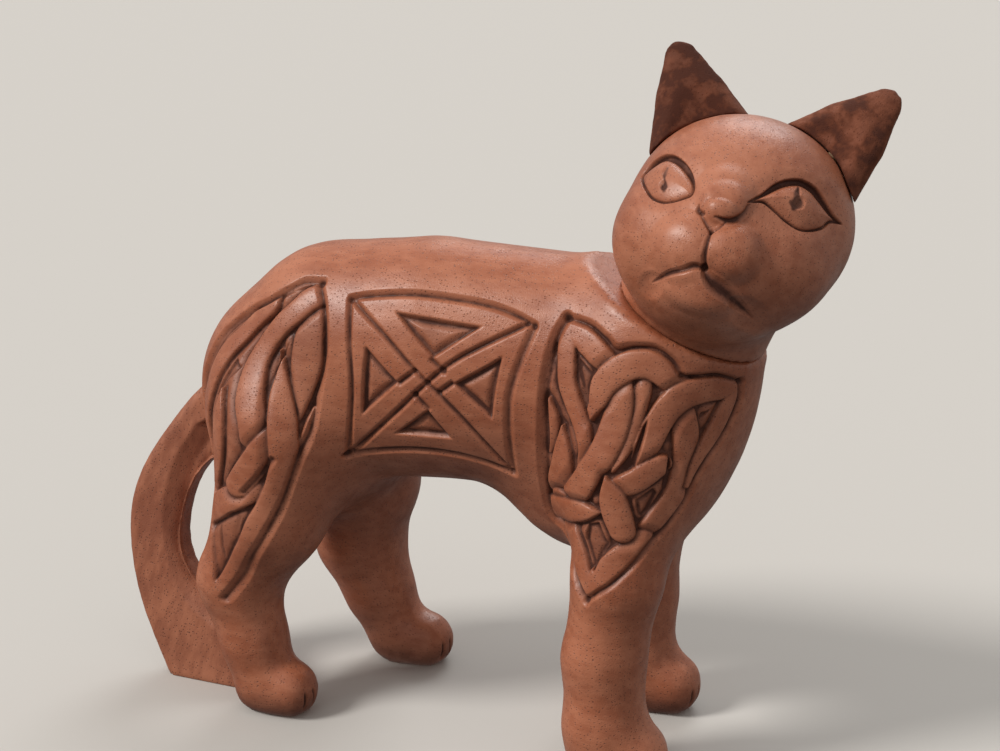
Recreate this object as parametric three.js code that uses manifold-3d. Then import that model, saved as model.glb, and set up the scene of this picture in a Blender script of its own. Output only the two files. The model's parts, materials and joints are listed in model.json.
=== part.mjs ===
// A carved wooden cat, standing with its head turned to its right side.
// Millimetres. +X is the cat's forward, +Y its left and +Z is up, and it stands on z = 0.
// Every piece of wood is carved as a soft form, and then cut flat, scribed and drilled
// where it is glued to its neighbour.
import * as THREE from "three";
import { mergeVertices } from "three/addons/utils/BufferGeometryUtils.js";
import Module from "manifold-3d";

const wasm = await Module();
wasm.setup();

// ---------- driving dimensions ----------

const GLUE_GAP = 0.3; // between two glued faces
const DRILL_GAP = 0.3; // round a peg in its hole
const SOLE_LEVEL = 0; // every foot is sawn flat at this height

const BODY_FACET = 6.4; // size of the facets that the body is carved in
const HEAD_FACET = 4.2;
const EAR_FACET = 2.2;

// The trunk is a flattened chain of beads from the haunch to the breast: [x, y, z, radius].
const BARREL = [[-81, 0, 127, 47.5], [-64, 0, 142, 47.5], [-25, 0, 147, 47.5], [52, 0, 147.5, 45]];
const BARREL_FLATNESS = 0.78;
const CHEST = { centre: [61, 0, 146], radii: [38, 35, 54] };
const SHOULDER = { centre: [58, 12, 132], radii: [30, 26, 48] };
const BRISKET = { centre: [41, 0, 117], radii: [42, 27, 39.5] };
const BARREL_BLEND = 1; // how far two links of the trunk melt together
const BODY_BLEND = 12; // the same for the trunk, the shoulders, the neck and the legs
const LEG_BLEND = 5;

// The neck leans forward and is sawn square to a line that tips forward.
const NECK = {
  root: [64, 0, 156],
  rootRadius: 33,
  top: [92, -5, 198],
  topRadius: 25,
};
const NECK_JOINT = { centre: [77, -2.3, 174.5], radius: 29.2, tip: THREE.MathUtils.degToRad(26) };

// A leg is a chain of beads from the hip or shoulder to the toes: [x, y, z, radius].
const LEGS = [
  [[60, -20, 124, 24], [60, -30, 80, 16.5], [55.5, -31, 48, 15.5], [56.5, -32, 20, 15.4]], // right fore
  [[54, 20, 124, 24], [50, 29, 80, 16], [48.5, 31, 48, 14.5], [49, 31, 20, 14]], // left fore
  [[-82, -17, 118, 32], [-88, -26, 82, 22], [-102, -29, 53, 16.5], [-95, -31, 28, 13.2]], // right hind
  [[-76, 17, 118, 32], [-72, 26, 82, 22], [-77, 30, 53, 18.5], [-69, 31, 30, 14.5]], // left hind
];
// A foot is a heel bead and a toe bead.
const FEET = [
  [[57, -32, 10.5, 13.5], [69, -32, 10.5, 13.2]],
  [[49, 31, 10.5, 13], [62, 31, 10.5, 13]],
  [[-90, -31, 10, 12], [-79, -32, 9.5, 12]],
  [[-61, 33, 10, 12], [-48.5, 33, 9.5, 12.2]],
];

// The head's own frame: +X is its right, +Y is forward out of the face, +Z is up.
const HEAD_CENTRE = [94, -12, 209.5];
const HEAD_PITCH = THREE.MathUtils.degToRad(20); // the face looks up
const HEAD_ROLL = THREE.MathUtils.degToRad(-10.5); // the crown leans to the cat's left
const HEAD_YAW = THREE.MathUtils.degToRad(180 + 7); // turned to look over the right side
const SKULL = { centre: [-1.4, -1, 5], radii: [39.8, 38, 37] };
const JAW = { centre: [1.4, 11, -8], radii: [35.6, 31, 32.4] };
const MUZZLE = { centre: [0, 32, -11], radii: [19, 13, 14] };
const CHIN = { centre: [0, 29, -26], radii: [14, 11, 9] };
const CHEEK = { centre: [21, 14, -9], radii: [15, 20, 15] };
const HEAD_BLEND = 8;

// An ear is a flattened leaf with a hollow in front. The two were carved by eye and differ.
const EARS = {
  right_ear: {
    base: [17.5, -1, 26],
    tip: [36.5, -6, 57.5],
    back: [0.25, -1, 0], // the way its back faces
    baseRadius: 20,
    middleRadius: 13.4, // half way up
    tipRadius: 6,
  },
  left_ear: {
    base: [-19, -1, 26],
    tip: [-38.3, -6, 56.6],
    back: [-0.25, -1, 0],
    baseRadius: 20.5,
    middleRadius: 14.4,
    tipRadius: 6.4,
  },
};
const EAR_THICKNESS = 0.46; // of its width
const EAR_BLEND = 1;
const EAR_HOLLOW = { forward: 8, baseRadius: 16, tipRadius: 3, thickness: 0.3, lip: 2 };

// The tail is sawn from a board that leans out to the right foot.
const TAIL_BOARD = 14; // thickness
const TAIL_EDGE = 3.5; // bevel round the board's edges
const TAIL_EDGE_FACETS = 2;
const TAIL_CURVE_FACETS = 3; // between two points of the outline
const TAIL_ROOT_Y = -0.5;
const TAIL_LEAN = 0.13; // how far the board moves to the left for each millimetre up
const TAIL_ROOT_LEVEL = 125;
const TAIL_OUTER = [
  [-104, 134], [-127, 127], [-146, 106], [-160, 83], [-164, 60], [-158, 30], [-141, -4],
];
const TAIL_INNER = [
  [-98, -4], [-98, 16], [-126, 36], [-139, 55], [-136, 79], [-124, 95], [-104, 101],
];

// Hidden pegs, each from one end to the other.
const PEGS = {
  neck_dowel: { from: [66, -1, 152], to: [86, -5, 198], radius: 8 },
  tail_root_peg: { from: [-107, 0, 121], to: [-136, -2, 106], radius: 3.5 },
  tail_foot_peg: { from: [-91, -21.5, 13], to: [-122, -15.5, 12], radius: 1.8 },
};
const EAR_PEGS = {
  right_ear_peg: { from: [16, -3.5, 17], to: [28, -4.5, 38], radius: 2.2 },
  left_ear_peg: { from: [-16, -3.5, 17], to: [-28, -4.5, 38], radius: 2.2 },
};
const PEG_SIDES = 20;

// ---------- soft forms ----------
// A form is a function of a point: its distance to the surface, negative in the wood.

// A bead chain's link: a rod that tapers from one bead to the other and is tangent to both.
function rod(from, fromRadius, to, toRadius) {
  const start = new THREE.Vector3(...from);
  const along = new THREE.Vector3(...to).sub(start);
  const length = along.length();
  along.normalize();
  const taper = (fromRadius - toRadius) / length;
  const slant = Math.sqrt(1 - taper * taper);
  const away = new THREE.Vector3();
  return (point) => {
    away.copy(point).sub(start);
    const up = away.dot(along);
    const out = Math.sqrt(Math.max(away.lengthSq() - up * up, 0));
    const part = slant * up - taper * out;
    if (part < 0) return away.length() - fromRadius;
    if (part > slant * length) return Math.hypot(out, up - length) - toRadius;
    return slant * out + taper * up - fromRadius;
  };
}

// A chain of beads, each given as [x, y, z, radius], with a rod from each to the next.
function chain(beads, blend) {
  const links = beads.slice(1).map((bead, number) => {
    const before = beads[number];
    return rod(before.slice(0, 3), before[3], bead.slice(0, 3), bead[3]);
  });
  return melted(blend, links);
}

// An egg with three radii.
function egg({ centre, radii }) {
  const middle = new THREE.Vector3(...centre);
  const size = new THREE.Vector3(...radii);
  const scaled = new THREE.Vector3();
  return (point) => {
    scaled.copy(point).sub(middle).divide(size);
    const reach = scaled.length();
    const slope = scaled.divide(size).length();
    return slope > 0 ? (reach * (reach - 1)) / slope : -Math.min(...radii);
  };
}

// The same form, squeezed sideways about its middle plane.
function squeezed(form, axis, amount) {
  const wide = new THREE.Vector3();
  return (point) => {
    wide.copy(point);
    wide[axis] /= amount;
    return form(wide);
  };
}

// The same form in a frame that is turned and moved.
function placed(form, frame) {
  const inverse = frame.clone().invert();
  const local = new THREE.Vector3();
  return (point) => form(local.copy(point).applyMatrix4(inverse));
}

// Several forms that melt together where they meet.
function melted(blend, forms) {
  return (point) =>
    forms.reduce((nearest, form) => {
      const distance = form(point);
      const share = Math.max(blend - Math.abs(nearest - distance), 0) / blend;
      return Math.min(nearest, distance) - (share * share * blend) / 4;
    }, Infinity);
}

function swollen(form, amount) {
  return (point) => form(point) - amount;
}

// The first form with the second one scooped out of it.
function scooped(form, tool, blend) {
  const both = melted(blend, [(point) => -form(point), tool]);
  return (point) => -both(point);
}

function mirrored(form, axis) {
  const other = new THREE.Vector3();
  return (point) => {
    other.copy(point);
    other[axis] *= -1;
    return form(other);
  };
}

// ---------- from a soft form to a solid ----------

// The twelve edges of a cube whose corners are numbered by the bits x, y, z.
const CUBE_EDGES = [];
for (let corner = 0; corner < 8; corner += 1) {
  for (const bit of [1, 2, 4]) {
    if (!(corner & bit)) CUBE_EDGES.push([corner, corner | bit]);
  }
}

// A closed mesh over a form: one vertex in each small cube that the surface crosses, and
// one four-sided facet round each cube edge that it crosses.
function carve(form, box, facet) {
  const size = box.getSize(new THREE.Vector3());
  const counts = size.toArray().map((side) => Math.ceil(side / facet) + 1);
  const strides = [1, counts[0], counts[0] * counts[1]];
  const depth = new Float64Array(counts[0] * counts[1] * counts[2]);
  const corner = (index) =>
    strides
      .map((stride, axis) => Math.floor(index / stride) % counts[axis])
      .map((step, axis) => box.min.getComponent(axis) + step * facet);
  const point = new THREE.Vector3();
  for (let index = 0; index < depth.length; index += 1) {
    depth[index] = form(point.fromArray(corner(index)));
  }

  const positions = [];
  const vertexOf = new Map();
  const offsetOf = (bits) =>
    strides.reduce((sum, stride, axis) => sum + ((bits >> axis) & 1) * stride, 0);
  for (let index = 0; index + offsetOf(7) < depth.length; index += 1) {
    const crossing = surfacePoint(index);
    if (crossing) {
      vertexOf.set(index, positions.length / 3);
      positions.push(...settle(form, crossing).toArray());
    }
  }

  // The middle of the crossings of one cube's edges, or nothing if it has none.
  function surfacePoint(index) {
    const sum = new THREE.Vector3();
    let crossings = 0;
    for (const [a, b] of CUBE_EDGES) {
      const depthA = depth[index + offsetOf(a)];
      const depthB = depth[index + offsetOf(b)];
      if (depthA < 0 !== depthB < 0) {
        const part = depthA / (depthA - depthB);
        const start = new THREE.Vector3(...corner(index + offsetOf(a)));
        const end = new THREE.Vector3(...corner(index + offsetOf(b)));
        sum.add(start.lerp(end, part));
        crossings += 1;
      }
    }
    return crossings ? sum.divideScalar(crossings) : null;
  }

  const faces = [];
  for (let index = 0; index < depth.length; index += 1) {
    for (let axis = 0; axis < 3; axis += 1) {
      const next = index + strides[axis];
      const inside = depth[index] < 0;
      if (next >= depth.length || inside === depth[next] < 0) continue;
      const side = strides[(axis + 1) % 3];
      const up = strides[(axis + 2) % 3];
      const cubes = [index - side - up, index - up, index, index - side];
      const round = cubes.map((cube) => vertexOf.get(cube));
      if (round.some((vertex) => vertex === undefined)) continue;
      const [a, b, c, d] = inside ? round : round.reverse();
      faces.push(a, b, c, a, c, d);
    }
  }
  const geometry = new THREE.BufferGeometry();
  geometry.setAttribute("position", new THREE.Float32BufferAttribute(positions, 3));
  geometry.setIndex(faces);
  return geometry;
}

// Moves a point on to the surface, along the form's slope.
function settle(form, point) {
  const step = 0.5;
  const rounds = 3;
  const probe = new THREE.Vector3();
  const slope = new THREE.Vector3();
  const settled = point.clone();
  for (let round = 0; round < rounds; round += 1) {
    const here = form(settled);
    for (const axis of ["x", "y", "z"]) {
      probe.copy(settled);
      probe[axis] += step;
      slope[axis] = (form(probe) - here) / step;
    }
    settled.addScaledVector(slope, -here / Math.max(slope.lengthSq(), step));
  }
  return settled;
}

// ---------- joining and cutting ----------

function solidFrom(geometry) {
  const bare = geometry.clone();
  bare.deleteAttribute("normal");
  bare.deleteAttribute("uv");
  const merged = mergeVertices(bare, 1e-3);
  return new wasm.Manifold(
    new wasm.Mesh({
      numProp: 3,
      vertProperties: new Float32Array(merged.attributes.position.array),
      triVerts: new Uint32Array(merged.index.array),
    }),
  );
}

function geometryFrom(solid) {
  const { vertProperties, triVerts } = solid.getMesh();
  const geometry = new THREE.BufferGeometry();
  geometry.setAttribute("position", new THREE.BufferAttribute(vertProperties, 3));
  geometry.setIndex(new THREE.BufferAttribute(triVerts, 1));
  geometry.computeVertexNormals();
  return geometry;
}

const SAW_REACH = 600; // larger than the whole figure

// A saw that takes away everything below a level of its own frame.
function sawBelow(level, frame = new THREE.Matrix4()) {
  const block = new THREE.BoxGeometry(SAW_REACH, SAW_REACH, SAW_REACH);
  block.translate(0, 0, level - SAW_REACH / 2);
  return solidFrom(block.applyMatrix4(frame));
}

function sawAbove(level, frame) {
  const turned = new THREE.Matrix4().makeRotationX(Math.PI);
  return sawBelow(-level, frame.clone().multiply(turned));
}

// A round rod between two points, longer by an extra length at each end.
function roundRod({ from, to, radius }, extraRadius = 0, extraLength = 0) {
  const start = new THREE.Vector3(...from);
  const end = new THREE.Vector3(...to);
  const length = start.distanceTo(end) + 2 * extraLength;
  const across = radius + extraRadius;
  const cylinder = new THREE.CylinderGeometry(across, across, length, PEG_SIDES);
  const direction = end.clone().sub(start).normalize();
  const turn = new THREE.Quaternion().setFromUnitVectors(THREE.Object3D.DEFAULT_UP, direction);
  cylinder.applyQuaternion(turn);
  const middle = start.add(end).multiplyScalar(0.5);
  return cylinder.translate(...middle.toArray());
}

function drillFor(peg) {
  return solidFrom(roundRod(peg, DRILL_GAP, 2 * DRILL_GAP));
}

// ---------- frames ----------

const headFrame = new THREE.Matrix4().compose(
  new THREE.Vector3(...HEAD_CENTRE),
  new THREE.Quaternion().setFromEuler(new THREE.Euler(HEAD_PITCH, HEAD_ROLL, HEAD_YAW, "ZXY")),
  new THREE.Vector3(1, 1, 1),
);

// The joint's frame stands on the sawn face of the neck, with its +Z up the neck.
const neckJointFrame = new THREE.Matrix4()
  .makeTranslation(...NECK_JOINT.centre)
  .multiply(new THREE.Matrix4().makeRotationY(NECK_JOINT.tip));

// ---------- the pieces ----------

function neckForm() {
  return rod(NECK.root, NECK.rootRadius, NECK.top, NECK.topRadius);
}

function bodyForm() {
  return melted(BODY_BLEND, [
    squeezed(chain(BARREL, BARREL_BLEND), "y", BARREL_FLATNESS),
    egg(CHEST),
    egg(BRISKET),
    egg(SHOULDER),
    mirrored(egg(SHOULDER), "y"),
    neckForm(),
    ...LEGS.map((leg, number) => chain([...leg, ...FEET[number]], LEG_BLEND)),
  ]);
}

// The head block ends in a collar that matches the neck below the joint.
function headForm() {
  const collar = rod(NECK_JOINT.centre, NECK_JOINT.radius, NECK.top, NECK.topRadius);
  const collarInHead = placed(collar, headFrame.clone().invert());
  return melted(HEAD_BLEND, [
    egg(SKULL),
    egg(JAW),
    egg(MUZZLE),
    egg(CHIN),
    egg(CHEEK),
    mirrored(egg(CHEEK), "x"),
    collarInHead,
  ]);
}

// An ear before it is scribed to the skull. It is made lying in its own frame, with its
// length along +Z and its hollow in front, and then stood up on the skull.
function earForm(ear) {
  const base = new THREE.Vector3(...ear.base);
  const up = new THREE.Vector3(...ear.tip).sub(base);
  const length = up.length();
  const back = new THREE.Vector3(...ear.back);
  const side = new THREE.Vector3().crossVectors(up, back).normalize();
  const front = new THREE.Vector3().crossVectors(up, side).normalize();
  const frame = new THREE.Matrix4().makeBasis(side, front, up.normalize()).setPosition(base);
  const beads = [
    [0, 0, 0, ear.baseRadius],
    [0, 0, length / 2, ear.middleRadius],
    [0, 0, length, ear.tipRadius],
  ];
  const leaf = squeezed(chain(beads, EAR_BLEND), "y", EAR_THICKNESS);
  const scoop = rod([0, 0, 0], EAR_HOLLOW.baseRadius, [0, 0, length], EAR_HOLLOW.tipRadius);
  const forward = new THREE.Matrix4().makeTranslation(0, EAR_HOLLOW.forward, 0);
  const flatScoop = placed(squeezed(scoop, "y", EAR_HOLLOW.thickness), forward);
  return placed(scooped(leaf, flatScoop, EAR_HOLLOW.lip), frame);
}

// The tail board's outline is in the plane of x and z, and its thickness is along y.
function tailBoard() {
  const outline = new THREE.Shape();
  const points = (pairs) => pairs.map(([x, z]) => new THREE.Vector2(x, z));
  outline.moveTo(...TAIL_OUTER[0]);
  outline.splineThru(points(TAIL_OUTER.slice(1)));
  outline.lineTo(...TAIL_INNER[0]);
  outline.lineTo(...TAIL_INNER[1]);
  outline.splineThru(points(TAIL_INNER.slice(2)));
  const board = new THREE.ExtrudeGeometry(outline, {
    depth: TAIL_BOARD - 2 * TAIL_EDGE,
    bevelThickness: TAIL_EDGE,
    bevelSize: TAIL_EDGE,
    bevelOffset: -TAIL_EDGE,
    bevelSegments: TAIL_EDGE_FACETS,
    curveSegments: TAIL_CURVE_FACETS,
  });
  board.translate(0, 0, TAIL_EDGE - TAIL_BOARD / 2);
  board.rotateX(Math.PI / 2);
  const lean = new THREE.Matrix4().makeShear(0, 0, 0, 0, 0, TAIL_LEAN);
  board.applyMatrix4(lean);
  board.translate(0, TAIL_ROOT_Y - TAIL_LEAN * TAIL_ROOT_LEVEL, 0);
  return solidFrom(board);
}

// The blocks of wood that the carver starts from, larger than the pieces.
function block(low, high) {
  return new THREE.Box3(new THREE.Vector3(...low), new THREE.Vector3(...high));
}

const BODY_BOX = block([-142, -66, -14], [128, 66, 232]);
const HEAD_BOX = block([-66, -66, -84], [66, 62, 58]);
const EAR_BOXES = {
  right_ear: block([-8, -24, 0], [60, 22, 70]),
  left_ear: block([-60, -24, 0], [8, 22, 70]),
};

// How much a host swells so that the piece scribed to it keeps the glue gap.
const SCRIBE = 2 * GLUE_GAP;

function makeBody() {
  let body = solidFrom(carve(bodyForm(), BODY_BOX, BODY_FACET));
  body = body.subtract(sawBelow(SOLE_LEVEL));
  body = body.subtract(sawAbove(-GLUE_GAP / 2, neckJointFrame));
  for (const peg of Object.values(PEGS)) body = body.subtract(drillFor(peg));
  return body;
}

function makeTail() {
  let tail = tailBoard().subtract(sawBelow(SOLE_LEVEL));
  tail = tail.subtract(solidFrom(carve(swollen(bodyForm(), SCRIBE), BODY_BOX, BODY_FACET)));
  for (const name of ["tail_root_peg", "tail_foot_peg"]) tail = tail.subtract(drillFor(PEGS[name]));
  return tail;
}

function makeHead() {
  const inHead = headFrame.clone().invert();
  let head = solidFrom(carve(headForm(), HEAD_BOX, HEAD_FACET));
  head = head.subtract(sawBelow(GLUE_GAP / 2, inHead.clone().multiply(neckJointFrame)));
  const neckDrill = roundRod(PEGS.neck_dowel, DRILL_GAP, 2 * DRILL_GAP).applyMatrix4(inHead);
  head = head.subtract(solidFrom(neckDrill));
  for (const peg of Object.values(EAR_PEGS)) head = head.subtract(drillFor(peg));
  return head;
}

function makeEar(name) {
  const skull = solidFrom(carve(swollen(headForm(), SCRIBE), HEAD_BOX, HEAD_FACET));
  const ear = solidFrom(carve(earForm(EARS[name]), EAR_BOXES[name], EAR_FACET));
  return ear.subtract(skull).subtract(drillFor(EAR_PEGS[`${name}_peg`]));
}

// ---------- materials ----------

function wood(colour, roughness) {
  return new THREE.MeshStandardMaterial({ color: colour, roughness, metalness: 0 });
}

function named(name, geometry, material) {
  const mesh = new THREE.Mesh(geometry, material);
  mesh.name = name;
  return mesh;
}

// ---------- the figure ----------

const STAINED = 0xa5694e;
const EAR_STAIN = 0x6a3a26;
const PEG_WOOD = 0xc39a6b;
const WAXED = 0.42;
const RAW = 0.7;

const figure = new THREE.Group();
figure.add(named("body", geometryFrom(makeBody()), wood(STAINED, WAXED)));
figure.add(named("tail", geometryFrom(makeTail()), wood(STAINED, WAXED)));
for (const [name, peg] of Object.entries(PEGS)) {
  figure.add(named(name, roundRod(peg), wood(PEG_WOOD, RAW)));
}

const headGroup = new THREE.Group();
headFrame.decompose(headGroup.position, headGroup.quaternion, headGroup.scale);
headGroup.add(named("head", geometryFrom(makeHead()), wood(STAINED, WAXED)));
for (const name of Object.keys(EARS)) {
  headGroup.add(named(name, geometryFrom(makeEar(name)), wood(EAR_STAIN, WAXED)));
}
for (const [name, peg] of Object.entries(EAR_PEGS)) {
  headGroup.add(named(name, roundRod(peg), wood(PEG_WOOD, RAW)));
}
figure.add(headGroup);

// The origin is the middle of the figure's box, on the surface that it stands on.
const extent = new THREE.Box3().setFromObject(figure, true);
const middle = extent.getCenter(new THREE.Vector3());
figure.position.set(-middle.x, -middle.y, -extent.min.z);

const group = new THREE.Group();
group.add(figure);
export default group;
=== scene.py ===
# %% [markdown]
# # A carved wooden cat with knotwork on its flanks
# The real piece is a standing cat, about 27 cm to its ear tips, carved with gouge and knife.
# The body, the turned head, the two ears and the tail are separate pieces of wood, pegged and glued.
# The whole cat is stained red-brown and waxed, and dark stain stays in every cut.
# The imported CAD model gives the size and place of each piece. Here each piece gets its finer carving.

# %% Open the shared frame
import json
import bmesh
import bpy
import numpy as np
from mathutils import Euler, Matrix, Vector

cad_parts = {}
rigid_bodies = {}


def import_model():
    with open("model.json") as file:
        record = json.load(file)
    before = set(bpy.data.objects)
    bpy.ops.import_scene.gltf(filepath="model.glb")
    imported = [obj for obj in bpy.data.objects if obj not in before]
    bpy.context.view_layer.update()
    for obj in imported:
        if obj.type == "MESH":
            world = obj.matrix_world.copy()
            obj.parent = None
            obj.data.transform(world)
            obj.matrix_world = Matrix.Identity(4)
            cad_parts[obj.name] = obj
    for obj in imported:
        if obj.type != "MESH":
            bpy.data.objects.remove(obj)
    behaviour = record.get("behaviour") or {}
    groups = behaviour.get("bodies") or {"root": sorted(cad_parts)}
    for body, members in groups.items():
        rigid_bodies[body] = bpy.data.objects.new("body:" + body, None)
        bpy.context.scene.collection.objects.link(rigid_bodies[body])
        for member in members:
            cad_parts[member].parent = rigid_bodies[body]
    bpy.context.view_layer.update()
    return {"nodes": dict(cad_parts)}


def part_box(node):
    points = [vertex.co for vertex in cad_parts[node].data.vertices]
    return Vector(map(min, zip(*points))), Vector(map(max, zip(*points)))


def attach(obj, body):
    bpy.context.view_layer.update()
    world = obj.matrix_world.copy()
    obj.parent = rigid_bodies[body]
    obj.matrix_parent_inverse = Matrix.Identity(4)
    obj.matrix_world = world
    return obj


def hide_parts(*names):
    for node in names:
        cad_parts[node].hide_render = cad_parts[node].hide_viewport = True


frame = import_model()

# %% [markdown]
# ## One set of axes for the carver
# The carver measures from the middle of the cat: x runs along the back towards the head, y to the cat's
# left and z up from the floor, all in millimetres. The neck dowel is a straight round peg whose middle is
# known in those measures, so its box says where the carver's zero lies in the shared frame.

# %% Find the carver's zero
MM = 0.001
NECK_DOWEL_MIDDLE = np.array([76.0, -3.0, 175.0])
dowel_low, dowel_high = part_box("neck_dowel")
carver_zero = (np.array(dowel_low) + np.array(dowel_high)) / 2 / MM - NECK_DOWEL_MIDDLE
print("carver's zero in the shared frame, mm:", carver_zero.round(2))

# %% [markdown]
# ## The camera
# The cat is seen from its right side, a little from the front and from above.
# A long lens from about 75 cm keeps the near feet from growing too large.

# %% Place the camera
CAMERA_TARGET = np.array([0.0, 0.0, 142.5])
CAMERA_DISTANCE = 750.0
CAMERA_AZIMUTH = np.radians(23)
CAMERA_HEIGHT = np.radians(17)
CAMERA_LENS = 70.2
SENSOR_WIDTH = 36.0

towards_camera = Vector((
    np.sin(CAMERA_AZIMUTH) * np.cos(CAMERA_HEIGHT),
    -np.cos(CAMERA_AZIMUTH) * np.cos(CAMERA_HEIGHT),
    np.sin(CAMERA_HEIGHT),
))
camera = bpy.data.objects.new("camera", bpy.data.cameras.new("camera"))
camera.data.lens = CAMERA_LENS
camera.data.sensor_width = SENSOR_WIDTH
camera.location = Vector((CAMERA_TARGET + carver_zero) * MM) + towards_camera * CAMERA_DISTANCE * MM
camera.rotation_euler = towards_camera.to_track_quat("Z", "Y").to_euler()
bpy.context.scene.collection.objects.link(camera)
bpy.context.scene.camera = camera
print("camera at", [round(c, 3) for c in camera.location])

# %% [markdown]
# ## Floor and light
# A plain pale floor runs far behind the cat. The main light is a broad soft sun from high on the left, so
# the back, the brow and the upper edge of each strap catch it. The room is bright above and dark below, and
# the floor sends no light up, as if the cat stood on a stand: that keeps the belly and the throat deep.

# %% Build the floor
def surface_material(name):
    material = bpy.data.materials.new(name)
    material.use_nodes = True
    return material, material.node_tree, material.node_tree.nodes["Principled BSDF"]


FLOOR_HALF = 6.0
floor_mesh = bpy.data.meshes.new("floor")
floor_corners = [(x * FLOOR_HALF, y * FLOOR_HALF, 0) for x, y in ((-1, -1), (1, -1), (1, 1), (-1, 1))]
floor_mesh.from_pydata(floor_corners, [], [(0, 1, 2, 3)])
floor = bpy.data.objects.new("floor", floor_mesh)
bpy.context.scene.collection.objects.link(floor)
floor.visible_diffuse = False
floor.visible_glossy = False
floor_material, floor_tree, floor_shader = surface_material("pale_floor")
floor_shader.inputs["Base Color"].default_value = (0.56, 0.54, 0.51, 1)
floor_shader.inputs["Roughness"].default_value = 0.95
floor_mesh.materials.append(floor_material)
print("floor", 2 * FLOOR_HALF, "m square")

# %% Hang the lights
def soft_sun(name, from_direction, strength, softness, colour=(1, 1, 1)):
    sun = bpy.data.objects.new(name, bpy.data.lights.new(name, "SUN"))
    sun.data.energy = strength
    sun.data.angle = np.radians(softness)
    sun.data.color = colour
    sun.rotation_euler = Vector(from_direction).to_track_quat("Z", "Y").to_euler()
    bpy.context.scene.collection.objects.link(sun)
    return sun


suns = [
    soft_sun("high_left_light", (-0.68, -0.58, 0.74), 2.3, 16, (1.0, 0.97, 0.93)),
    soft_sun("back_light", (-0.1, 0.8, 0.75), 0.9, 30),
]
room = bpy.data.worlds.new("studio_room")
room.use_nodes = True
room_tree = room.node_tree
direction = room_tree.nodes.new("ShaderNodeTexCoord")
upward = room_tree.nodes.new("ShaderNodeSeparateXYZ")
brightness = room_tree.nodes.new("ShaderNodeMapRange")
room_tree.links.new(direction.outputs["Generated"], upward.inputs[0])
room_tree.links.new(upward.outputs["Z"], brightness.inputs["Value"])
for socket_name, value in (("From Min", -0.35), ("From Max", 0.75), ("To Min", 0.2), ("To Max", 0.56)):
    brightness.inputs[socket_name].default_value = value
backdrop = room_tree.nodes["Background"]
backdrop.inputs["Color"].default_value = (1.0, 0.975, 0.945, 1)
room_tree.links.new(brightness.outputs[0], backdrop.inputs["Strength"])
bpy.context.scene.world = room
bpy.context.scene.view_settings.view_transform = "Standard"
print("lights:", [sun.name for sun in suns])

# %% [markdown]
# ## From a CAD piece to a surface fine enough to carve
# The CAD pieces have facets of several millimetres. A voxel remesh covers a copy of one with small even
# squares, and a few rounds of smoothing take the facets out. Plain smoothing would shrink the legs, so each
# round is followed by a slightly larger step the other way. The soles stay flat: their points are held.

# %% Copy a piece on a fine grid
def fine_copy(node, name, cell):
    piece = bpy.data.objects.new(name, frame["nodes"][node].data.copy())
    bpy.context.scene.collection.objects.link(piece)
    grid = piece.modifiers.new("even_grid", "REMESH")
    grid.mode = "VOXEL"
    grid.voxel_size = cell * MM
    drawn = piece.evaluated_get(bpy.context.evaluated_depsgraph_get())
    piece.data = bpy.data.meshes.new_from_object(drawn)
    piece.modifiers.clear()
    piece.data.name = name
    return piece


# %% Read and write the points of a piece in the carver's measures
def read_points(mesh):
    flat = np.empty(len(mesh.vertices) * 3, np.float32)
    mesh.vertices.foreach_get("co", flat)
    return flat.reshape(-1, 3).astype(float) / MM - carver_zero


def write_points(mesh, points):
    mesh.vertices.foreach_set("co", ((points + carver_zero) * MM).astype(np.float32).ravel())
    mesh.update()


def read_normals(mesh):
    flat = np.empty(len(mesh.vertices) * 3, np.float32)
    mesh.vertex_normals.foreach_get("vector", flat)
    return flat.reshape(-1, 3).astype(float)


# %% Average over neighbours, the one tool that smoothing and staining share
def neighbour_average(mesh):
    pairs = np.empty(len(mesh.edges) * 2, np.int32)
    mesh.edges.foreach_get("vertices", pairs)
    pairs = pairs.reshape(-1, 2)
    here = np.concatenate([pairs[:, 0], pairs[:, 1]])
    there = np.concatenate([pairs[:, 1], pairs[:, 0]])
    order = np.argsort(here, kind="stable")
    there = there[order]
    counts = np.bincount(here, minlength=len(mesh.vertices))
    starts = np.concatenate([[0], np.cumsum(counts)[:-1]])

    def average(values):
        sums = np.add.reduceat(values[there], starts, axis=0)
        return sums / (counts[:, None] if values.ndim == 2 else counts)

    return average


SHRINK_STEP = 0.6
SWELL_STEP = -0.61
FLAT_SOLE = 0.6  # points lower than this above the floor belong to a sawn sole


def smooth_piece(mesh, rounds, keep_flat_below=None):
    average = neighbour_average(mesh)
    points = read_points(mesh)
    held = np.zeros(len(points), bool)
    if keep_flat_below is not None:
        held = points[:, 2] < keep_flat_below
    for _ in range(rounds):
        for step in (SHRINK_STEP, SWELL_STEP):
            moved = points + step * (average(points) - points)
            points = np.where(held[:, None], points, moved)
    write_points(mesh, points)


# %% Split only the squares that will carry carving
def split_squares(mesh, wanted):
    work = bmesh.new()
    work.from_mesh(mesh)
    work.faces.ensure_lookup_table()
    edges = {edge for index in np.nonzero(wanted)[0] for edge in work.faces[index].edges}
    bmesh.ops.subdivide_edges(work, edges=list(edges), cuts=1, use_grid_fill=True)
    bmesh.ops.triangulate(work, faces=[face for face in work.faces if len(face.verts) > 4])
    work.to_mesh(mesh)
    work.free()


def face_middles(mesh):
    flat = np.empty(len(mesh.polygons) * 3, np.float32)
    mesh.polygons.foreach_get("center", flat)
    return flat.reshape(-1, 3).astype(float) / MM - carver_zero


# %% [markdown]
# ## Drawing on the wood before cutting
# A carver draws the pattern on the flank first. The flank is nearly flat, but the rump and the breast turn
# round, so the drawing is wrapped round them like paper: u is the length along that paper and v the height.
# Each strap of the knotwork is a smooth line with a width, and each panel is a closed outline.

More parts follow.
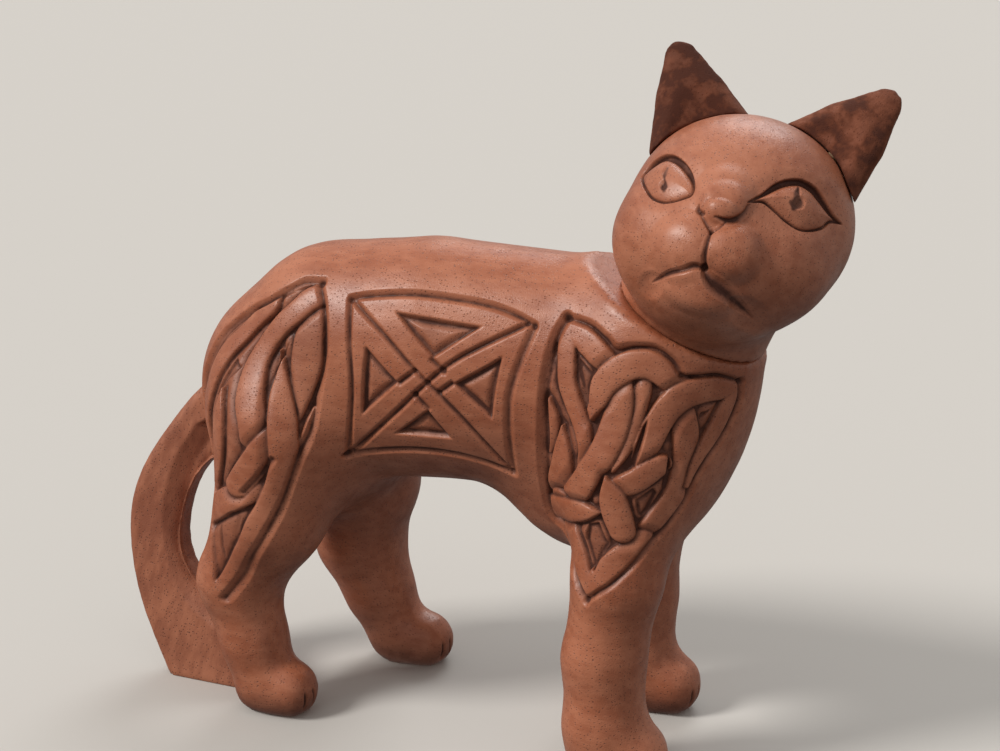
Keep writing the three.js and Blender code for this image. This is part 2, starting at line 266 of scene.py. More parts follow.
# %% Wrap the drawing round the rump and the breast
RUMP_TURN = -72.0
BREAST_TURN = 58.0
TURN_RADIUS = 38.0


def flank_paper(points):
    x, y, z = points[:, 0], np.abs(points[:, 1]), points[:, 2]
    ahead = BREAST_TURN + TURN_RADIUS * np.arctan2(x - BREAST_TURN, y)
    behind = RUMP_TURN - TURN_RADIUS * np.arctan2(RUMP_TURN - x, y)
    u = np.where(x > BREAST_TURN, ahead, np.where(x < RUMP_TURN, behind, x))
    return np.stack([u, z], axis=1)


def facing_out(points, normals):
    middle_x = np.clip(points[:, 0], RUMP_TURN, BREAST_TURN)
    away = np.stack([points[:, 0] - middle_x, points[:, 1]], axis=1)
    away /= np.maximum(np.linalg.norm(away, axis=1), 1e-6)[:, None]
    return (normals[:, :2] * away).sum(axis=1)


# %% Smooth lines, distances to them and insides of outlines
def ramp(start, end, values):
    share = np.clip((values - start) / (end - start), 0, 1)
    return share * share * (3 - 2 * share)


def smooth_line(points, steps=6, closed=False):
    knots = np.array(points, float)
    if closed:
        knots = np.vstack([knots[-1:], knots, knots[:2]])
    else:
        knots = np.vstack([2 * knots[:1] - knots[1:2], knots, 2 * knots[-1:] - knots[-2:-1]])
    shares = np.linspace(0, 1, steps, endpoint=False)[:, None]
    bends = []
    for a, b, c, d in zip(knots, knots[1:], knots[2:], knots[3:]):
        bends.append(0.5 * (
            2 * b + (c - a) * shares + (2 * a - 5 * b + 4 * c - d) * shares ** 2
            + (3 * b - a - 3 * c + d) * shares ** 3
        ))
    line = np.vstack(bends)
    return line if closed else np.vstack([line, knots[-2:-1]])


def near_line(place, line):
    best = np.full(len(place), np.inf)
    width = np.zeros(len(place))
    for start, end in zip(line, line[1:]):
        run = end[:2] - start[:2]
        share = np.clip(((place - start[:2]) @ run) / max(run @ run, 1e-9), 0, 1)
        gap = np.linalg.norm(place - start[:2] - share[:, None] * run, axis=1)
        closer = gap < best
        best = np.where(closer, gap, best)
        if line.shape[1] > 2:
            width = np.where(closer, start[2] + share * (end[2] - start[2]), width)
    return best, width


def inside_outline(place, outline):
    x, y = place[:, 0], place[:, 1]
    inside = np.zeros(len(place), bool)
    for (ax, ay), (bx, by) in zip(outline, np.roll(outline, -1, axis=0)):
        if ay == by:
            continue
        crosses = (ay > y) != (by > y)
        inside ^= crosses & (x < ax + (bx - ax) * (y - ay) / (by - ay))
    return inside


def depth_inside(place, outline):
    ring = np.vstack([outline, outline[:1]])
    edge = near_line(place, ring)[0]
    return np.where(inside_outline(place, outline), edge, -edge)


# %% [markdown]
# ## Three cuts that make all of the knotwork
# A groove is one pass of a V-tool. A strap is a flat band with rounded edges: the carver slopes the wood
# beside it down, so a strap that is laid later seems to pass over the ones before. A strap may be given as
# several runs that meet in a sharp fold. A pocket is a recess with steep walls and a slightly pillowed floor.
# Heights are in millimetres above the old skin.

# %% Groove, strap and pocket
STRAP_CROWN = 0.75  # how far a strap's edges are rounded down
TUCK_DEPTH = 1.5  # how far the wood beside a strap is cut down
TUCK_REACH = 3.6
TUCK_FLOOR = -2.9


def close_to(place, line, margin):
    low = line[:, :2].min(axis=0) - margin
    high = line[:, :2].max(axis=0) + margin
    return np.nonzero(((place > low) & (place < high)).all(axis=1))[0]


def cut_groove(height, place, points, depth, half_width):
    line = smooth_line(points)
    spots = close_to(place, line, half_width + 1)
    gap, taper = near_line(place[spots], line)
    scale = taper if line.shape[1] > 2 else 1.0
    share = np.clip(1 - gap / np.maximum(half_width * scale, 0.05), 0, 1)
    height = height.copy()
    height[spots] -= depth * scale * share
    return height


def lay_strap(height, place, *runs, top=-0.15):
    line = np.vstack([smooth_line(run) for run in runs])
    spots = close_to(place, line, line[:, 2].max() + TUCK_REACH + 1)
    gap, half = near_line(place[spots], line)
    across = np.minimum(gap / np.maximum(half, 0.1), 1.2)
    band = top - STRAP_CROWN * across ** 4
    beyond = gap - half
    before = height[spots]
    tucked = before - TUCK_DEPTH * np.clip(1 - beyond / TUCK_REACH, 0, 1) ** 1.4
    tucked = np.minimum(np.maximum(tucked, TUCK_FLOOR), before)
    height = height.copy()
    height[spots] = band + (tucked - band) * ramp(-0.3, 0.3, beyond)
    return height


def sink_pocket(height, place, outline, depth, wall=1.3, pillow=0.0, sharp=True):
    ring = np.array(outline, float) if sharp else smooth_line(outline, closed=True)
    spots = close_to(place, ring, 1)
    inward = depth_inside(place[spots], ring)
    sunk = -depth * ramp(0, wall, inward) + pillow * ramp(wall, 3 * wall, inward)
    height = height.copy()
    height[spots] = np.where(inward > 0, np.minimum(height[spots], sunk), height[spots])
    return height


def keep_inside(height, place, outline, edge=0.6):
    ring = smooth_line(outline, closed=True)
    spots = close_to(place, ring, 2)
    kept = np.zeros(len(height))
    kept[spots] = height[spots] * ramp(-edge, edge, depth_inside(place[spots], ring))
    return kept


# %% [markdown]
# ## The square panel in the middle of the flank
# Two crossed grooves meet at the centre and run past each other a little, so the four arms look woven.
# Between the arms lie four sunken triangles with pillowed floors. A V-groove frames the panel.

# %% Cut the square panel
def square_panel(place):
    height = np.zeros(len(place))
    frame_lines = [
        ([(-49, 175), (-40, 177), (-25, 179), (-11, 179), (6, 178), (17, 176), (26, 173)], 1.7, 1.7),
        ([(-49, 174), (-47, 162), (-45, 144), (-47, 127), (-50, 113)], 1.5, 1.5),
        ([(-51, 113), (-34, 117), (-20, 119), (-6, 119), (6, 117), (16, 114)], 1.7, 1.6),
        ([(26, 172), (22, 159), (19, 148), (18, 136), (17, 114)], 1.3, 2.2),
    ]
    for points, depth, half_width in frame_lines:
        height = cut_groove(height, place, points, depth, half_width)
    triangles = [
        [(-30, 173), (7, 171), (-12, 157)],
        [(-40, 160), (-25, 147), (-42, 131)],
        [(16, 162), (-4, 149), (12, 136)],
        [(-14, 138), (-30, 125), (-5, 126)],
    ]
    for corners in triangles:
        height = sink_pocket(height, place, corners, 2.1, wall=1.5, pillow=1.1)
    crossings = [
        [(-47, 174), (-31, 163), (-14, 148), (-9, 144), (2, 133), (15, 116)],
        [(-48, 115), (-27, 135), (-14, 148), (-4, 157), (7, 164), (23, 173)],
        [(-25, 147), (-19, 152)],
        [(-12, 157), (-7, 153)],
        [(-4, 149), (-9, 145)],
        [(-14, 138), (-19, 143)],
    ]
    for points in crossings:
        height = cut_groove(height, place, points, 1.6, 1.5)
    return height


# %% [markdown]
# ## The leaf panel on the haunch
# A long leaf shape follows the thigh from the rump to the hock. Straps fan down from its upper point,
# cross one another in the lower half, and leave sunken slivers between them.

# %% Cut the haunch panel
HAUNCH_OUTLINE = [
    (-65, 178), (-77, 176), (-85, 173), (-93, 169), (-102, 165), (-108, 160), (-112, 153), (-114, 143),
    (-116, 130), (-114, 118), (-108, 103), (-103, 90), (-100, 78), (-97, 66), (-92, 51), (-87, 61),
    (-83, 70), (-78, 80), (-72, 95), (-66, 111), (-61, 124), (-59, 139), (-57, 150), (-57, 160), (-60, 171),
]


def haunch_panel(place):
    height = np.zeros(len(place))
    height = sink_pocket(height, place, HAUNCH_OUTLINE, 1.3, wall=1.2, sharp=False)
    # a flat blade down the front edge, lower than the straps
    blade = [(-61, 178, 3.0), (-64, 168, 5.4), (-65, 160, 6.4), (-65, 150, 7.0), (-66, 141, 5.4),
             (-66, 133, 3.2), (-66, 125, 0.6)]
    height = lay_strap(height, place, blade, top=-0.7)
    straps = [
        # rear band along the rump
        [(-89, 169, 4.6), (-96, 163, 4.6), (-101, 156, 4.5), (-105, 149, 4.4), (-107, 141, 4.0),
         (-108, 133, 3.6), (-109, 125, 3.2), (-109, 115, 2.6), (-106, 106, 1.4)],
        # small leaf at the rear
        [(-98, 136, 0.4), (-97, 127, 2.8), (-97, 118, 3.9), (-98, 108, 4.0), (-100, 98, 3.0),
         (-101, 90, 0.8)],
        # short bar below it
        [(-80, 99, 4.2), (-88, 95, 5.0), (-96, 89, 5.4), (-106, 82, 5.4)],
        # sliver at the front
        [(-60, 133, 0.8), (-62, 124, 1.9), (-64, 117, 2.2), (-67, 108, 0.8)],
        # the widest band, from the upper point
        [(-58, 179, 4.2), (-67, 173, 4.6), (-73, 168, 4.8), (-80, 162, 5.0), (-85, 155, 5.2),
         (-87, 148, 5.4), (-86, 141, 5.6), (-84, 134, 5.6), (-81, 127, 5.4), (-80, 120, 5.0)],
        # band that crosses its end
        [(-72, 124, 4.4), (-77, 116, 5.0), (-81, 109, 5.2), (-87, 100, 4.6)],
        # the long leaf that becomes the lower band
        [(-77, 154, 0.3), (-75, 145, 2.8), (-73, 137, 4.3), (-71, 129, 5.2), (-70, 121, 5.3),
         (-70, 112, 5.2), (-72, 103, 4.8), (-75, 95, 4.4), (-79, 86, 4.3), (-82, 77, 4.3), (-86, 68, 4.4),
         (-90, 58, 4.4), (-94, 49, 4.0)],
    ]
    for points in straps:
        height = lay_strap(height, place, points)
    pockets = [
        ([(-91, 150), (-95, 146), (-99, 149), (-101, 141), (-103, 133), (-103, 127), (-99, 136),
          (-95, 142)], 2.7),
        ([(-67, 169), (-72, 161), (-77, 153), (-80, 143), (-79, 135), (-77, 129), (-77, 138), (-76, 147),
          (-74, 154), (-71, 161)], 3.0),
        ([(-96, 83), (-88, 90), (-84, 88), (-86, 77), (-92, 63), (-95, 72)], 2.2),
    ]
    for corners, depth in pockets:
        height = sink_pocket(height, place, corners, depth, wall=1.1, pillow=0.5)
    height = cut_groove(height, place, [(-74, 113), (-79, 105), (-84, 98)], 1.5, 1.6)
    height = keep_inside(height, place, HAUNCH_OUTLINE)
    border = [(-63, 179), (-72, 178), (-85, 173), (-93, 169), (-102, 165), (-108, 160), (-112, 153),
              (-114, 143), (-116, 130), (-114, 118)]
    height = cut_groove(height, place, border, 1.9, 1.8)
    front_border = [(-64, 178), (-60, 171), (-57, 160), (-57, 150), (-59, 139), (-61, 124), (-66, 111),
                    (-72, 95), (-78, 80), (-83, 70), (-92, 51)]
    return cut_groove(height, place, front_border, 1.6, 2.0)


# %% [markdown]
# ## The knot on the shoulder
# The shoulder panel is the richest: an arch over the top, a second arch at the breast, and bands that
# weave down to a point above the leg. The order below is the order of the weave, from under to over.

# %% Cut the shoulder panel
SHOULDER_OUTLINE = [
    (38, 177), (48, 176), (55, 173), (60, 170), (66, 171), (74, 171), (80, 167), (83, 162), (88, 161),
    (94, 161), (99, 159), (104, 156), (105, 150), (103, 143), (99, 135), (93, 127), (90, 122), (87, 114),
    (81, 106), (74, 99), (68, 91), (61, 83), (53, 76), (48, 80), (43, 87), (38, 94), (31, 98),
    (30, 114), (31, 131), (32, 148), (33, 160), (35, 170),
]


def shoulder_panel(place):
    height = np.zeros(len(place))
    height = sink_pocket(height, place, SHOULDER_OUTLINE, 1.3, wall=1.2, sharp=False)
    straps = [
        # the sliver and the leaf at the rear edge
        [[(34, 148, 0.6), (36, 141, 2.2), (36, 134, 1.8), (34, 127, 0.8)]],
        [[(40, 139, 0.5), (40, 130, 3.8), (39, 122, 5.2), (37, 113, 6.0), (36, 106, 6.0)]],
        # the rear band and the upper band, folded at the upper corner
        [[(48, 126, 1.6), (50, 133, 2.8), (48, 141, 3.8), (44, 148, 3.8), (41, 155, 3.8), (40, 163, 3.8),
          (39, 171, 4.2), (39, 181, 4.4)],
         [(33, 180, 4.6), (40, 174, 4.6), (48, 170, 4.8), (55, 165, 4.6), (60, 161, 4.4)]],
        # two bands that come down from under the arch
        [[(71, 164, 3.4), (70, 156, 3.3), (69, 149, 3.2), (68, 143, 3.0), (65, 135, 2.4), (61, 126, 0.8)]],
        [[(62, 159, 4.6), (62, 151, 5.2), (61, 144, 5.2), (59, 137, 5.2), (56, 130, 5.2), (51, 122, 5.2),
          (45, 113, 5.2), (41, 107, 5.2)]],
        # the arch over the top
        [[(52, 144, 0.8), (53, 150, 4.2), (56, 157, 5.0), (61, 162, 5.3), (67, 165, 5.4), (73, 165, 5.3),
          (79, 161, 5.2), (84, 155, 4.8)]],
        # the band down the front
        [[(84, 147, 4.6), (86, 136, 5.0), (86, 127, 5.2), (84, 118, 5.2), (80, 111, 5.2), (75, 104, 5.2),
          (68, 97, 5.2)]],
        # the arch at the breast, folded into the outer band
        [[(68, 126, 0.8), (71, 132, 3.8), (74, 140, 4.6), (78, 148, 4.9), (83, 153, 5.2), (89, 155, 5.2),
          (96, 155, 4.6), (110, 153, 4.0)],
         [(108, 160, 3.6), (102, 150, 3.6), (98, 141, 3.8), (94, 133, 3.8), (90, 126, 2.8),
          (87, 119, 1.0)]],
        # the cross band in the middle
        [[(77, 129, 3.9), (74, 127, 4.3), (70, 124, 4.5), (66, 121.5, 4.4), (63, 120, 4.0)]],
        # the two bands that meet in the lower point
        [[(37, 108, 4.6), (42, 99, 4.6), (48, 90, 4.6), (55, 74, 4.6)],
         [(48, 76, 4.8), (57, 84, 5.0), (64, 92, 5.2), (71, 99, 5.2)]],
        # the short bar at the rear
        [[(27, 100, 4.6), (36, 104, 4.6), (44, 107, 4.4), (51, 109, 3.4), (57, 110, 0.8)]],
        # the short band on top of all
        [[(59, 124, 0.4), (61, 117, 4.4), (63, 110, 5.0), (65, 104, 4.4)]],
    ]
    for runs in straps:
        height = lay_strap(height, place, *runs)
    deep_pockets = [
        [(73, 148), (70, 143), (68, 137), (65, 127), (69, 128), (70, 133), (72, 141)],
        [(98, 150), (94, 148), (90, 147), (89, 142), (92, 144), (95, 147)],
        [(80, 143), (81, 136), (81, 129), (80, 122), (77, 116), (77, 121), (78, 126), (79, 135)],
        [(51, 105), (57, 107), (60, 101), (62, 99), (59, 94), (56, 87), (53, 92), (50, 98)],
        [(68, 116), (75, 121), (77, 118), (74, 111), (71, 108), (69, 110)],
        [(44, 166), (52, 160), (51, 155), (51, 149), (50, 145), (47, 152), (44, 160)],
    ]
    for corners in deep_pockets:
        height = sink_pocket(height, place, corners, 3.0, wall=1.1, pillow=0.6)
    height = keep_inside(height, place, SHOULDER_OUTLINE)
    rear_border = [(53, 76), (46, 84), (38, 94), (31, 99), (30, 114), (31, 131), (32, 148), (33, 160),
                   (35, 170), (38, 177)]
    height = cut_groove(height, place, rear_border, 1.9, 2.4)
    top_border = [(38, 177), (48, 176), (55, 173), (60, 170), (66, 171), (74, 171), (80, 167), (83, 162)]
    height = cut_groove(height, place, top_border, 1.6, 1.8)
    breast_border = [(83, 161), (88, 161), (94, 161), (99, 159), (105, 156)]
    height = cut_groove(height, place, breast_border, 1.3, 1.4)
    lower_border = [(104, 157), (105, 150), (103, 143), (99, 135), (93, 127), (90, 122), (87, 114),
                    (81, 106), (74, 99), (68, 91), (61, 83), (53, 76)]
    return cut_groove(height, place, lower_border, 1.5, 1.6)


# %% [markdown]
# ## The body
# The body is the largest block, and only its flanks need a fine skin. The squares under the panels are
# split once on both sides and once more on the side that is shown, and then smoothed again.

# %% Carve the body
BODY_CELL = 1.5
BLUR_ROUNDS = 30


# Rear edge, front edge, bottom and top of the haunch, middle and shoulder panels on the wrapped paper.
PANEL_BOXES = [(-118, -55, 48, 182), (-54, 30, 108, 183), (28, 108, 73, 180)]
FLANK_START = 12.0  # how far from the middle of the body a flank begins


def panel_zone(place):
    u, v = place[:, 0], place[:, 1]
    wanted = np.zeros(len(place), bool)
    for left, right, low, high in PANEL_BOXES:
        wanted |= (u > left) & (u < right) & (v > low) & (v < high)
    return wanted


body = fine_copy("body", "carved_body", BODY_CELL)
smooth_piece(body.data, 40, keep_flat_below=FLAT_SOLE)
for shown_side_only in (False, True):
    middles = face_middles(body.data)
    outer = middles[:, 1] < -FLANK_START if shown_side_only else np.abs(middles[:, 1]) > FLANK_START
    split_squares(body.data, panel_zone(flank_paper(middles)) & outer)
    smooth_piece(body.data, 3, keep_flat_below=FLAT_SOLE)
print("body:", len(body.data.vertices), "points")

# %% [markdown]
# ## The toes
# Three short V-cuts over the front of each foot stand for the toes. They are as small as the tip of the
# tool, so the squares there are split twice before the cuts are made.

# %% Cut the toes
# Each foot: the front of its toes along x, its middle across, both in the carver's measures.
TOES = [(82, -32), (75, 31), (-67, -32), (-36, 33)]
TOE_GAP = 5.0
TOE_TOP = 12.0
TOE_DEPTH = 1.3
TOE_STAINED_DEPTH = 0.9  # a cut this deep holds all the stain it can


def toe_zone(place):
    x, y, z = place[:, 0], place[:, 1], place[:, 2]
    near = np.zeros(len(place), bool)
    for front, middle in TOES:
        near |= (x > front - 9) & (x < front + 3) & (np.abs(y - middle) < 11) & (z < 20)
    return near


def carve_toes(mesh):
    points = read_points(mesh)
    depth = np.zeros(len(points))
    for front, middle in TOES:
        ahead = ramp(front - 7, front - 3, points[:, 0])
        over = ramp(TOE_TOP + 1, TOE_TOP - 3, points[:, 2]) * ramp(3, 6, points[:, 2])
        for side in (-1, 0, 1):
            aside = np.abs(points[:, 1] - middle - side * TOE_GAP)
            near = (aside < 1) & (np.abs(points[:, 0] - front) < 9)
            depth -= np.where(near, TOE_DEPTH * (1 - aside), 0) * ahead * over
    write_points(mesh, points + read_normals(mesh) * depth[:, None])
    return np.clip(-depth / TOE_STAINED_DEPTH, 0, 1)


for _ in range(2):
    split_squares(body.data, toe_zone(face_middles(body.data)))
toe_stain = carve_toes(body.data)
print("toe cuts:", int((toe_stain > 0).sum()), "points")

# %% [markdown]
# ## The panels on both flanks
# The cuts are pressed into the skin along its own direction and fade out where the flank turns away.
# The far flank is taken to carry the same three panels. Its hind leg stands further forward at the hock,
# so the leaf leans with the thigh there. Stain stays in the cuts, the feet darken towards the soles, and
# painted shade darkens the belly and every other face that looks down.

# %% Press the three panels into both flanks
FAR_LEAF_LEAN = 0.2
LEAN_BELOW = 130.0  # the leaf leans below this height
LEAF_FRONT = -52.0


def store_mask(mesh, name, values):
    layer = mesh.attributes.new(name, "FLOAT", "POINT")
    layer.data.foreach_set("value", values.astype(np.float32))


def carve_flanks(mesh):
    points = read_points(mesh)
    normals = read_normals(mesh)
    place = flank_paper(points)
    leaning = (points[:, 1] > 0) & (place[:, 0] < LEAF_FRONT) & (place[:, 1] < LEAN_BELOW)
    place[:, 0] -= np.where(leaning, FAR_LEAF_LEAN * (LEAN_BELOW - place[:, 1]), 0)
    fade = ramp(0.05, 0.35, facing_out(points, normals))
    work = np.nonzero(panel_zone(place) & (fade > 0))[0]
    spot = place[work]
    height = sum(panel(spot) for panel in (square_panel, haunch_panel, shoulder_panel))
    depth = np.zeros(len(points))
    depth[work] = height * fade[work]
    average = neighbour_average(mesh)
    for _ in range(2):
        depth = depth + 0.5 * (average(depth) - depth)
    write_points(mesh, points + normals * depth[:, None])
    blurred = depth.copy()
    for _ in range(BLUR_ROUNDS):
        blurred = average(blurred)
    return depth, blurred


def stain_in_cuts(depth, blurred, full_depth=5.0):
    narrow = np.clip((blurred - depth) / 0.8, 0, 1)
    deep = np.clip(-depth / full_depth, 0, 1)
    return np.clip(0.85 * narrow + deep, 0, 1)


# Painted shade: every face that looks down is darkened with the stain colour, standing in for the shade under
# the belly, the legs and the chin.
def painted_shade_below(mesh, amount):
    return amount * ramp(0.1, -0.8, read_normals(mesh)[:, 2])


flank_depth, flank_blur = carve_flanks(body.data)
print("deepest cut in mm:", round(float(flank_depth.min()), 2))
level_above_floor = read_points(body.data)[:, 2]
# The feet get darker towards the soles, within 15 mm of the floor.
darker_towards_soles = 0.6 * ramp(15, 4, level_above_floor)
# The body's mask holds the stain in the cuts and the toes, the darkening towards the soles, and painted shade
# on the undersides.
body_stain_and_shade = np.maximum(stain_in_cuts(flank_depth, flank_blur), painted_shade_below(body.data, 0.4))
body_stain_and_shade = np.maximum.reduce([body_stain_and_shade, toe_stain, darker_towards_soles])
store_mask(body.data, "stain", body_stain_and_shade)

# %% [markdown]
# ## Wood that has been stained and waxed
# Open-pored wood shows short dark dashes where the vessels were cut, soft streaks along the grain and
# cloudy patches where the stain took unevenly. Dark stain lies in every cut and the wax shines on the
# high places. One node group makes that for every piece, and each material gives it its own values.

# %% Build the wood effect once
def new_group(name, inputs, outputs):
    group = bpy.data.node_groups.new(name, "ShaderNodeTree")
    for socket_name, kind, value in inputs:
        socket = group.interface.new_socket(socket_name, in_out="INPUT", socket_type=kind)
        socket.default_value = value
    for socket_name, kind in outputs:
        group.interface.new_socket(socket_name, in_out="OUTPUT", socket_type=kind)
    return group


def add_node(tree, kind, **settings):
    node = tree.nodes.new(kind)
    for key, value in settings.items():
        setattr(node, key, value)
    return node


def set_input(tree, socket, value):
    if isinstance(value, bpy.types.NodeSocket):
        tree.links.new(value, socket)
    else:
        socket.default_value = value


def set_inputs(tree, node, **values):
    for name, value in values.items():
        set_input(tree, node.inputs[name.replace("_", " ")], value)


def math_node(tree, operation, a, b=0.0, clamp=False):
    node = add_node(tree, "ShaderNodeMath", operation=operation, use_clamp=clamp)
    set_input(tree, node.inputs[0], a)
    set_input(tree, node.inputs[1], b)
    return node.outputs[0]


def colour_mix(tree, share, a, b):
    node = add_node(tree, "ShaderNodeMix", data_type="RGBA")
    for index, value in ((0, share), (6, a), (7, b)):  # the colour mix keeps its inputs at these places
        set_input(tree, node.inputs[index], value)
    return node.outputs[2]


def level(tree, value, low, high, out_low=0.0, out_high=1.0):
    node = add_node(tree, "ShaderNodeMapRange", interpolation_type="SMOOTHSTEP")
    set_inputs(tree, node, Value=value, From_Min=low, From_Max=high, To_Min=out_low, To_Max=out_high)
    return node.outputs[0]


wood = new_group(
    "waxed_wood",
    [
        ("Light Wood", "NodeSocketColor", (0.5, 0.2, 0.1, 1)),
        ("Dark Wood", "NodeSocketColor", (0.3, 0.1, 0.05, 1)),
        ("Stain Colour", "NodeSocketColor", (0.03, 0.01, 0.006, 1)),
        # the stain mask also carries painted shade on the undersides of the body and the head
        ("Stain", "NodeSocketFloat", 0.0),
        ("Blotchiness", "NodeSocketFloat", 0.2),
        ("Pore Amount", "NodeSocketFloat", 0.6),
        ("Grain Turn", "NodeSocketVector", (0, 0, 0)),
        ("Shine", "NodeSocketFloat", 0.4),
    ],
    [("Colour", "NodeSocketColor"), ("Roughness", "NodeSocketFloat"), ("Height", "NodeSocketFloat")],
)
inside = add_node(wood, "NodeGroupInput").outputs
place_node = add_node(wood, "ShaderNodeTexCoord").outputs["Object"]
turn = add_node(wood, "ShaderNodeMapping")
set_inputs(wood, turn, Vector=place_node, Rotation=inside["Grain Turn"])
along = turn.outputs[0]

stretch = add_node(wood, "ShaderNodeMapping")
set_inputs(wood, stretch, Vector=along, Scale=(0.35, 1.0, 1.0))
streak = add_node(wood, "ShaderNodeTexNoise")
set_inputs(wood, streak, Vector=stretch.outputs[0], Scale=260.0, Detail=4.0, Roughness=0.6)
cloud = add_node(wood, "ShaderNodeTexNoise")
set_inputs(wood, cloud, Vector=along, Scale=28.0, Detail=3.0, Roughness=0.55)
blotch = add_node(wood, "ShaderNodeTexNoise")
set_inputs(wood, blotch, Vector=along, Scale=120.0, Detail=3.0, Roughness=0.6)

grit = add_node(wood, "ShaderNodeTexNoise")
set_inputs(wood, grit, Vector=along, Scale=1900.0, Detail=2.0, Roughness=0.6)

pore_space = add_node(wood, "ShaderNodeMapping")
set_inputs(wood, pore_space, Vector=along, Scale=(0.6, 1.0, 1.0))
pore = add_node(wood, "ShaderNodeTexVoronoi", feature="F1")
set_inputs(wood, pore, Vector=pore_space.outputs[0], Scale=1250.0, Randomness=1.0)
pore_choice = add_node(wood, "ShaderNodeSeparateColor")
set_inputs(wood, pore_choice, Color=pore.outputs["Color"])
pore_kept = level(wood, pore_choice.outputs[0], 0.25, 0.75)
pore_dot = level(wood, pore.outputs["Distance"], 0.34, 0.14)
pore_mask = math_node(wood, "MULTIPLY", pore_dot, pore_kept)
pore_mask = math_node(wood, "MULTIPLY", pore_mask, inside["Pore Amount"], clamp=True)

streak_part = math_node(wood, "MULTIPLY", streak.outputs[0], 0.45)
cloud_part = math_node(wood, "MULTIPLY", cloud.outputs[0], 0.55)
tone = math_node(wood, "ADD", streak_part, cloud_part)
tone = level(wood, tone, 0.36, 0.64)
ground_colour = colour_mix(wood, tone, inside["Dark Wood"], inside["Light Wood"])
stain_break = level(wood, blotch.outputs[0], 0.35, 0.65, -1.0, 1.0)
stain_break = math_node(wood, "ADD", math_node(wood, "MULTIPLY", stain_break, inside["Blotchiness"]), 1.0)
stain_and_shade_share = math_node(wood, "MULTIPLY", inside["Stain"], stain_break, clamp=True)
stained = colour_mix(wood, stain_and_shade_share, ground_colour, inside["Stain Colour"])
pored = colour_mix(wood, math_node(wood, "MULTIPLY", pore_mask, 0.8), stained, inside["Stain Colour"])

rough = level(wood, blotch.outputs[0], 0.35, 0.65, -0.05, 0.07)
rough = math_node(wood, "ADD", rough, inside["Shine"])
rough = math_node(wood, "ADD", rough, math_node(wood, "MULTIPLY", stain_and_shade_share, 0.45))
rough = math_node(wood, "ADD", rough, math_node(wood, "MULTIPLY", pore_mask, 0.3), clamp=True)

relief = math_node(wood, "MULTIPLY", pore_mask, -1.0)
relief = math_node(wood, "ADD", relief, math_node(wood, "MULTIPLY", blotch.outputs[0], 0.35))
relief = math_node(wood, "ADD", relief, math_node(wood, "MULTIPLY", streak.outputs[0], 0.5))
relief = math_node(wood, "ADD", relief, math_node(wood, "MULTIPLY", grit.outputs[0], 0.5))
outside = add_node(wood, "NodeGroupOutput")
set_inputs(wood, outside, Colour=pored, Roughness=rough, Height=relief)
print("wood effect:", len(wood.nodes), "nodes")

# %% One material for each kind of wood on the cat
def wood_material(name, light, dark, stain, blotches, pores, turn_by, shine, wax, bump_height):
    material, tree, shader = surface_material(name)
    effect = add_node(tree, "ShaderNodeGroup", node_tree=wood)
    # The stain attribute holds real stain and, on the body and the head, painted shade on the undersides.
    stain_and_shade_mask = add_node(tree, "ShaderNodeAttribute", attribute_name="stain")
    set_inputs(
        tree, effect, Light_Wood=light, Dark_Wood=dark, Stain_Colour=stain, Stain=stain_and_shade_mask.outputs["Fac"],
        Blotchiness=blotches, Pore_Amount=pores, Grain_Turn=turn_by, Shine=shine,
    )
    bump = add_node(tree, "ShaderNodeBump")
    set_inputs(tree, bump, Height=effect.outputs["Height"], Strength=0.5, Distance=bump_height * MM)
    set_inputs(
        tree, shader, Base_Color=effect.outputs["Colour"], Roughness=effect.outputs["Roughness"],
        Normal=bump.outputs[0], Coat_Weight=wax, Coat_Roughness=0.3, Specular_IOR_Level=0.4,
    )
    return material


# This stain colour is also the colour of the painted shade on the undersides.
STAIN_AND_SHADE_COLOUR = (0.075, 0.021, 0.011, 1)
body_wood = wood_material(
    "body_wood", light=(0.48, 0.172, 0.090, 1), dark=(0.34, 0.100, 0.045, 1), stain=STAIN_AND_SHADE_COLOUR,
    blotches=0.2, pores=0.8, turn_by=(0, 0, 0), shine=0.40, wax=0.16, bump_height=0.45,
)
head_wood = wood_material(
    "head_wood", light=(0.48, 0.175, 0.094, 1), dark=(0.34, 0.102, 0.047, 1), stain=STAIN_AND_SHADE_COLOUR,
    blotches=0.2, pores=0.75, turn_by=(0, 0.3, 1.2), shine=0.38, wax=0.18, bump_height=0.45,
)
ear_wood = wood_material(
    "ear_wood", light=(0.29, 0.085, 0.036, 1), dark=(0.18, 0.052, 0.022, 1), stain=STAIN_AND_SHADE_COLOUR,
    blotches=0.5, pores=0.6, turn_by=(0, 1.2, 0), shine=0.68, wax=0.0, bump_height=0.9,
)
tail_wood = wood_material(
    "tail_wood", light=(0.44, 0.16, 0.085, 1), dark=(0.27, 0.085, 0.043, 1), stain=STAIN_AND_SHADE_COLOUR,
    blotches=0.3, pores=1.0, turn_by=(0, 1.3, 0), shine=0.45, wax=0.07, bump_height=0.4,
)
peg_wood = wood_material(
    "peg_wood", light=(0.62, 0.40, 0.22, 1), dark=(0.50, 0.30, 0.16, 1), stain=(0.2, 0.1, 0.05, 1),
    blotches=0.2, pores=0.5, turn_by=(0, 1.5, 0), shine=0.6, wax=0.0, bump_height=0.2,
)
print("materials:", [m.name for m in (body_wood, head_wood, ear_wood, tail_wood, peg_wood)])


# %% Finish a piece: its material, its node and its body
def finish_piece(piece, node, material):
    piece.data.materials.clear()
    piece.data.materials.append(material)
    piece.data.polygons.foreach_set("use_smooth", np.ones(len(piece.data.polygons), bool))
    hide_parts(node)
    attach(piece, "root")


finish_piece(body, "body", body_wood)
print("body finished in", body.data.materials[0].name)

